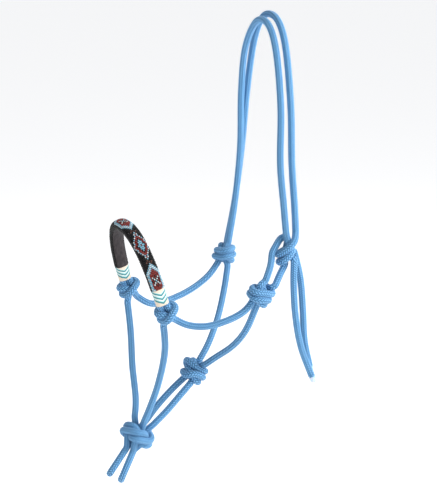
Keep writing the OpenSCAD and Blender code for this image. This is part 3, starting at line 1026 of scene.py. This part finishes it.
def rope_material():
    """Light blue polyester braid: painted highlights on the pick tops, painted shade in the creases
    and pits between picks, fine filaments along each pick.
    """
    n = Nodes("rope_blue")
    uv = n.node("ShaderNodeUVMap", uv_map="Braid").outputs[0]
    split = n.node("ShaderNodeSeparateXYZ", {0: uv})
    u, v = split.outputs[0], split.outputs[1]
    a, b = n.math("ADD", u, v), n.math("SUBTRACT", u, v)
    i, j = n.math("FLOOR", a), n.math("FLOOR", b)
    crossing = n.math("FLOORED_MODULO", n.math("ADD", i, j), 4.0)
    over = n.math("LESS_THAN", crossing, 2.0)
    across = n.node("ShaderNodeMix", {0: over, 2: b, 3: a}).outputs[0]
    along = n.node("ShaderNodeMix", {
        0: over, 2: n.math("ADD", j, a), 3: n.math("ADD", i, b)}).outputs[0]
    filament = n.math("SINE", n.math("MULTIPLY", across, 2 * math.pi * 5))
    from_side = n.math("PINGPONG", across, 0.5)
    from_end = n.math("PINGPONG", along, 1.0)
    # painted shade: the colour darkens towards each pick's edges, in the creases between strands
    crease = n.ramp(n.math("MINIMUM", from_side, n.math("MULTIPLY", from_end, 0.8)),
                    [(0.0, (0.20, 0.32, 0.42, 1)), (0.17, (1, 1, 1, 1))])
    # painted shade: dark pits where the picks' corners meet
    pit_shade = n.ramp(n.math("ADD", from_side, from_end),
                 [(0.12, (0.16, 0.26, 0.34, 1)), (0.5, (1, 1, 1, 1))])
    crease = n.mix(1.0, crease, pit_shade, "MULTIPLY")
    cell = n.node("ShaderNodeCombineXYZ", {0: i, 1: j})
    random = n.node("ShaderNodeTexWhiteNoise", {0: cell.outputs[0]},
                    noise_dimensions="3D").outputs[0]
    height = n.attribute("pick_height")
    # painted shade and highlight: the blue darkens in the gaps between picks and lightens towards
    # their tops, by pick height
    body = n.ramp(height, [(0.0, srgb(16, 52, 84)), (0.4, srgb(48, 108, 158)),
                           (0.7, srgb(96, 162, 212)), (1.0, srgb(138, 194, 234))])
    colour = n.mix(1.0, body, crease, "MULTIPLY")
    wear = n.noise(60.0, 4.0)
    patchy = n.ramp(wear, [(0.3, (0.86, 0.90, 0.94, 1)), (0.7, (1.0, 1.0, 1.0, 1))])
    colour = n.mix(1.0, colour, patchy, "MULTIPLY")
    tint = n.ramp(random, [(0.0, (0.84, 0.90, 0.95, 1)), (1.0, (1.0, 1.0, 1.0, 1))])
    n.link(n.mix(1.0, colour, tint, "MULTIPLY"), "Base Color")
    n.link(n.bump(filament, 0.00006, 0.55), "Normal")
    n.shader.inputs["Roughness"].default_value = 0.6
    n.shader.inputs["Sheen Weight"].default_value = 0.2
    n.shader.inputs["Sheen Roughness"].default_value = 0.5
    n.shader.inputs["Specular IOR Level"].default_value = 0.3
    return n.material


def bead_material():
    """Glass seed beads: each bead its own colour, a little uneven, with a bright coat."""
    n = Nodes("seed_beads")
    colour = n.attribute("bead_colour", "Color")
    tone = n.ramp(n.attribute("bead_tone"), [(0.0, (0.72, 0.72, 0.74, 1)), (1.0, (1, 1, 1, 1))])
    cloud = n.ramp(n.noise(400.0, 2.0), [(0.3, (0.84, 0.84, 0.85, 1)), (0.7, (1, 1, 1, 1))])
    n.link(n.mix(1.0, n.mix(1.0, colour, tone, "MULTIPLY"), cloud, "MULTIPLY"), "Base Color")
    rough = n.ramp(n.attribute("bead_tone"), [(0, (0.22, 0.22, 0.22, 1)), (1, (0.4, 0.4, 0.4, 1))])
    n.link(rough, "Roughness")
    n.link(n.bump(n.noise(900.0, 2.0), 0.00003, 0.4), "Normal")
    n.shader.inputs["Specular IOR Level"].default_value = 0.32
    n.shader.inputs["Coat Weight"].default_value = 0.1
    n.shader.inputs["Coat Roughness"].default_value = 0.15
    return n.material


def backing_material():
    """Black felt behind the beads."""
    n = Nodes("bead_backing")
    n.link(n.ramp(n.noise(300.0, 4.0), [(0.3, srgb(9, 9, 11)), (0.7, srgb(24, 22, 25))]),
           "Base Color")
    n.link(n.bump(n.noise(900.0, 3.0), 0.0001, 0.6), "Normal")
    n.shader.inputs["Roughness"].default_value = 0.9
    return n.material


def lining_material():
    """Soft dark brown leather with a fine pebble grain, painted shade in the grooves between the
    pebbles, and rubbed high spots.
    """
    n = Nodes("lining_leather")
    blotch = n.noise(14.0, 5.0)
    base = n.ramp(blotch, [(0.3, srgb(36, 29, 31)), (0.55, srgb(50, 42, 44)),
                           (0.8, srgb(68, 58, 60))])
    cell = n.node("ShaderNodeTexVoronoi", {"Scale": 170.0})
    # pebble grain, painted darker towards the grooves between pebbles as painted shade
    pebble = n.ramp(cell.outputs[0], [(0.0, (1, 1, 1, 1)), (0.75, (0.62, 0.60, 0.60, 1))])
    n.link(n.mix(0.7, base, pebble, "MULTIPLY"), "Base Color")
    fine = n.bump(n.noise(500.0, 4.0), 0.00008, 0.5)
    n.link(n.bump(cell.outputs[0], 0.00014, -0.5, fine), "Normal")
    n.link(n.ramp(blotch, [(0.3, (0.74, 0.74, 0.74, 1)), (0.8, (0.58, 0.58, 0.58, 1))]),
           "Roughness")
    return n.material


TEAL = srgb(38, 138, 148)
PALE_CYAN = srgb(188, 232, 232)
THREAD_WHITE = srgb(238, 244, 240)
CREAM = srgb(238, 222, 202)


def thread_material():
    """Waxed thread wound round the noseband's ends, in chevrons that point at the knot, with
    painted shade in the grooves between its turns.
    """
    n = Nodes("wound_thread")
    wave = n.math("PINGPONG", n.attribute("from_outer"), 12.0)
    along = n.math("SUBTRACT", n.attribute("along"), n.math("MULTIPLY", wave, 0.52))
    row = n.math("FRACT", n.math("DIVIDE", along, 20.0))
    stops = [(0.0, CREAM), (0.09, TEAL), (0.20, PALE_CYAN), (0.27, THREAD_WHITE),
             (0.33, TEAL), (0.43, PALE_CYAN), (0.50, THREAD_WHITE), (0.57, TEAL),
             (0.67, PALE_CYAN), (0.72, CREAM)]
    bands = n.ramp(row, stops)
    n.tree.nodes[-1].color_ramp.interpolation = "CONSTANT"
    thread = n.attribute("thread")
    # painted shade: darker in the grooves between the thread's turns
    groove_shade = n.ramp(thread, [(0.0, (0.55, 0.52, 0.50, 1)), (0.5, (1, 1, 1, 1))])
    fuzz = n.ramp(n.noise(160.0, 4.0), [(0.3, (0.86, 0.84, 0.82, 1)), (0.65, (1, 1, 1, 1))])
    n.link(n.mix(1.0, n.mix(1.0, bands, groove_shade, "MULTIPLY"), fuzz, "MULTIPLY"), "Base Color")
    n.link(n.bump(n.noise(700.0, 3.0), 0.00005, 0.4), "Normal")
    n.shader.inputs["Roughness"].default_value = 0.55
    n.shader.inputs["Sheen Weight"].default_value = 0.15
    return n.material


def tip_material():
    """Melted polyester: milky white, with some of the rope's blue drawn into it."""
    n = Nodes("melted_tip")
    n.link(n.ramp(n.noise(40.0, 4.0), [(0.35, srgb(140, 188, 220)), (0.6, srgb(208, 224, 236))]),
           "Base Color")
    n.link(n.bump(n.noise(120.0, 3.0), 0.0002, 0.5), "Normal")
    n.shader.inputs["Roughness"].default_value = 0.35
    n.shader.inputs["Subsurface Weight"].default_value = 0.15
    return n.material


# ---------------------------------------------------------------- stage

def area_light(name, size, power, location, target, colour=(1, 1, 1)):
    data = bpy.data.lights.new(name, "AREA")
    data.shape = "RECTANGLE"
    data.size, data.size_y = size
    data.energy = power
    data.color = colour
    light = bpy.data.objects.new(name, data)
    light.location = location
    light.rotation_mode = "QUATERNION"
    light.rotation_quaternion = (Vector(target) - Vector(location)).to_track_quat("-Z", "Y")
    bpy.context.scene.collection.objects.link(light)


def make_stage():
    floor_z = CAD_BOX[0].z - 0.30
    mesh = bpy.data.meshes.new("floor")
    half = 40.0
    mesh.from_pydata([(-half, -half, floor_z), (half, -half, floor_z), (half, half, floor_z),
                      (-half, half, floor_z)], [], [(0, 1, 2, 3)])
    floor = bpy.data.objects.new("floor", mesh)
    bpy.context.scene.collection.objects.link(floor)
    n = Nodes("pale_floor")
    n.shader.inputs["Base Color"].default_value = (0.9, 0.9, 0.9, 1)
    n.shader.inputs["Roughness"].default_value = 0.9
    n.shader.inputs["Specular IOR Level"].default_value = 0.0
    n.shader.inputs["Emission Color"].default_value = (1, 1, 1, 1)
    n.shader.inputs["Emission Strength"].default_value = 0.5
    floor.data.materials.append(n.material)

    world = bpy.data.worlds.new("studio")
    bpy.context.scene.world = world
    world.use_nodes = True
    tree = world.node_tree
    direction = tree.nodes.new("ShaderNodeTexCoord")
    split = tree.nodes.new("ShaderNodeSeparateXYZ")
    sky = tree.nodes.new("ShaderNodeValToRGB")
    sky.color_ramp.elements[0].position = 0.22
    sky.color_ramp.elements[0].color = (0.88, 0.88, 0.88, 1)
    sky.color_ramp.elements[1].position = 0.75
    sky.color_ramp.elements[1].color = (0.30, 0.31, 0.33, 1)
    tree.links.new(direction.outputs["Generated"], split.inputs[0])
    tree.links.new(split.outputs[2], sky.inputs[0])
    tree.links.new(sky.outputs[0], tree.nodes["Background"].inputs[0])
    bpy.context.scene.view_settings.view_transform = "Standard"

    area_light("key", (0.7, 0.7), 44, (1.15, -1.15, 0.75), LOOK_AT)
    area_light("fill", (1.2, 1.2), 3, (-1.6, -1.2, 0.2), LOOK_AT)
    area_light("back", (1.0, 0.6), 6, (0.6, 1.4, 0.9), LOOK_AT)


# ---------------------------------------------------------------- pieces

def finished(piece, material, slot, *nodes):
    piece.data.materials.append(material)
    if nodes:
        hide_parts(*nodes)


def place_rope(rope):
    blue = rope_material()
    for knot in ("off_cheek", "near_cheek", "off_nose", "near_nose", "throat", "chin"):
        piece = rope.piece(f"{knot}_knot")
        finished(piece, blue, "rope", f"{knot}_knot")
        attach(piece, "face")
    piece = rope.piece("tie_knot")
    finished(piece, blue, "rope", "tie_knot")
    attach(piece, "crown")
    piece = rope.piece("eye_loop")
    finished(piece, blue, "rope", "eye_loop_front", "eye_loop_rear")
    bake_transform(piece)
    for name in ("off_cheek_rope", "near_cheek_rope", "off_jaw_rope", "near_jaw_rope",
                 "off_throat_rope", "near_throat_rope", "off_chin_rope", "near_chin_rope"):
        piece = rope.piece(name)
        finished(piece, blue, "rope", name)
        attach(piece, "face")
        declare_run(rope, name)
    for name in ("crown_rope_front", "crown_rope_rear"):
        piece = rope.piece(name)
        finished(piece, blue, "rope", name)
        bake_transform(piece)
        declare_run(rope, name)
    for name in ("nose_core_front", "nose_core_rear"):
        piece = rope.piece(name)
        finished(piece, blue, "rope", name)
        bend_at_nose(piece)
    for name in ("off_lead_loop", "near_lead_loop"):
        piece = rope.piece(name)
        finished(piece, blue, "rope", name)
        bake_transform(piece)
        declare_run(rope, name)
    melted = tip_material()
    for name, top in (("near_tail", NEAR_TAIL_TOP), ("off_tail", OFF_TAIL_TOP)):
        tip = tail_tip(f"{name}_melted_tip", tail_runs()[name])
        finished(tip, melted, "rope_tip", f"{name}_tip")
        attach(tip, name)
        piece = rope.piece(name)
        finished(piece, blue, "rope", name)
        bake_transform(piece)
        declare_run(rope, name)


def declare_run(rope, name):
    stretch = rope.stretches[name]
    line = stretch["laid"][0]
    leaves = stretch["line"][0]
    if np.linalg.norm(line[-1] - leaves) < np.linalg.norm(line[0] - leaves):
        line = line[::-1]


def bend_at_nose(piece):
    """Bakes the piece's transform into its mesh."""
    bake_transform(piece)


def place_noseband():
    seam = LINING_HALF_ANGLE + SEAM_ANGLE
    backing = cover("bead_backing", seam - 90, 270 - seam, 0.8 * MM)
    finished(backing, backing_material(), "beads")
    rows = beads()
    finished(rows, bead_material(), "beads", "beaded_sleeve")
    lining = cover("soft_lining", 270 - LINING_HALF_ANGLE, 270 + LINING_HALF_ANGLE, 0.0,
                   swell=lining_swell)
    finished(lining, lining_material(), "lining", "sleeve_lining")
    for piece in (backing, rows, lining):
        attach(piece, "noseband")
    thread = thread_material()
    for side in ("off", "near"):
        wrap = end_wrap(f"{side}_thread_wrap", side == "near")
        finished(wrap, thread, "thread", f"{side}_end_wrap")
        bend_at_nose(wrap)


make_camera()
halter_rope = build_rope()
place_rope(halter_rope)
place_noseband()
make_stage()
